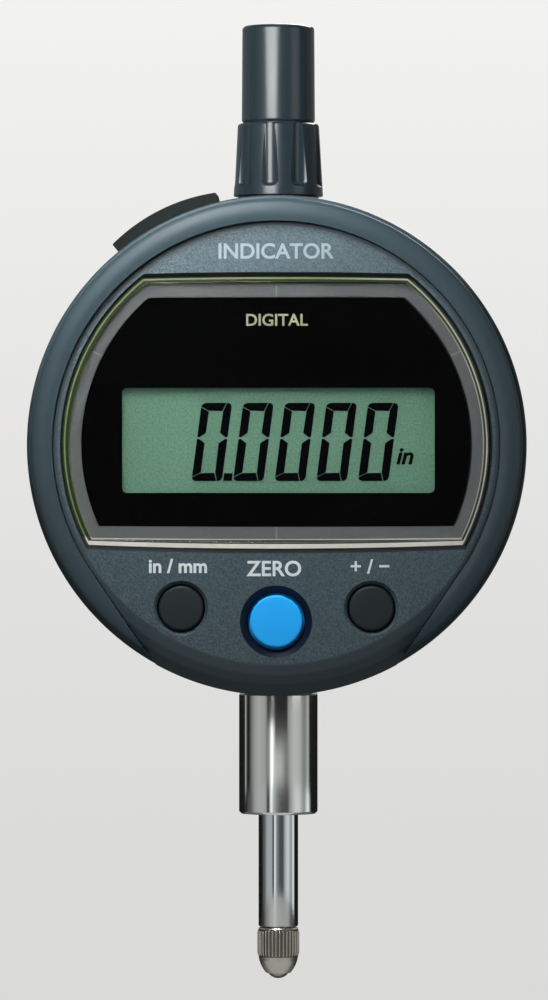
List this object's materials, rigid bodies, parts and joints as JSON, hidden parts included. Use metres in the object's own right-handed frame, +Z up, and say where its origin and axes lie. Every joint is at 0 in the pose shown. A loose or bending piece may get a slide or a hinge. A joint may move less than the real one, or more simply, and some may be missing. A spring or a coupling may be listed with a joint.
{
  "type": "dial indicator",
  "caption": "Round electronic dial indicator with a solar ring round its display, three buttons, a clamping stem, a spring spindle with a ball point, an end cap and a rear lug.",
  "frame": {"origin": "on the spindle's axis, half way along the part of the stem that a stand clamps", "axes": "+Z up the spindle from the contact point to the cap, -Y out of the face, +X to the right of the face"},
  "size_m": [0.06, 0.0321, 0.1154],
  "materials": {
    "case": "satin moulded plastic, blue grey",
    "face": "finely textured plastic, blue grey",
    "lens": "clear window",
    "solar": "purple grey solar film",
    "mask": "gloss black mask",
    "lcd": "green grey liquid crystal display",
    "frame": "moulded black plastic",
    "board": "green solder mask on glass fibre board",
    "chip": "moulded black resin",
    "gold": "gold plated tracks",
    "rubber": "moulded black rubber",
    "button_dark": "charcoal moulded button",
    "button_blue": "bright blue moulded button",
    "steel": "ground and polished steel",
    "knurled": "straight knurled steel",
    "carbide": "polished carbide ball",
    "bronze": "bored bearing bronze",
    "holder": "milled aluminium",
    "screw": "plain steel"
  },
  "bodies": {
    "case": {"case_body": "case", "bezel_ring": "case", "face_panel": "face", "back_cover": "case", "back_gasket": "rubber", "back_screw_1": "screw", "back_screw_2": "screw", "back_screw_3": "screw", "back_screw_4": "screw", "board_screw_1": "screw", "board_screw_2": "screw", "board_screw_3": "screw", "board_screw_4": "screw", "detector_screw_1": "screw", "detector_screw_2": "screw", "detector_board": "board", "flex_cable": "gold", "lens": "lens", "solar_cell": "solar", "display_mask": "mask", "display_frame": "frame", "lcd_panel": "lcd", "contact_strip_lower": "rubber", "contact_strip_upper": "rubber", "main_board": "board", "processor": "chip", "storage_capacitor": "holder", "unit_switch": "chip", "origin_switch": "chip", "sign_switch": "chip", "button_seal": "rubber", "connector_socket": "chip", "stem": "steel", "lower_bush": "bronze", "middle_bush": "bronze", "upper_bush": "bronze", "bumper_ring": "rubber", "guide_rail": "holder", "return_spring": "screw"},
    "spindle": {"spindle": "steel", "stop_ring": "screw", "contact_body": "knurled", "contact_ball": "carbide", "scale_holder": "holder", "scale": "gold", "guide_pin": "screw", "clamp_screw": "screw"},
    "cap": {"spindle_cap": "case"},
    "port_cover": {"connector_cover": "rubber"},
    "unit_button": {"unit_button": "button_dark"},
    "origin_button": {"origin_button": "button_blue"},
    "sign_button": {"sign_button": "button_dark"}
  },
  "joints": [
    {"name": "spindle_slide", "type": "slide", "parent": "case", "child": "spindle", "axis": [0, 0, 1], "range_m": [0, 0.0127], "stiffness_N_per_m": 30, "springref_m": -0.02, "deforming": ["return_spring"]},
    {"name": "cap_lift", "type": "slide", "parent": "case", "child": "cap", "axis": [0, 0, 1], "range_m": [0, 0.025]},
    {"name": "port_cover_pull", "type": "slide", "parent": "case", "child": "port_cover", "axis": [-0.4462, 0, 0.8949], "range_m": [0, 0.008]},
    {"name": "unit_button_press", "type": "slide", "parent": "case", "child": "unit_button", "axis": [0, 1, 0], "range_m": [0, 0.0006], "stiffness_N_per_m": 800, "springref_m": -0.0005},
    {"name": "origin_button_press", "type": "slide", "parent": "case", "child": "origin_button", "axis": [0, 1, 0], "range_m": [0, 0.0006], "stiffness_N_per_m": 800, "springref_m": -0.0005},
    {"name": "sign_button_press", "type": "slide", "parent": "case", "child": "sign_button", "axis": [0, 1, 0], "range_m": [0, 0.0006], "stiffness_N_per_m": 800, "springref_m": -0.0005}
  ]
}
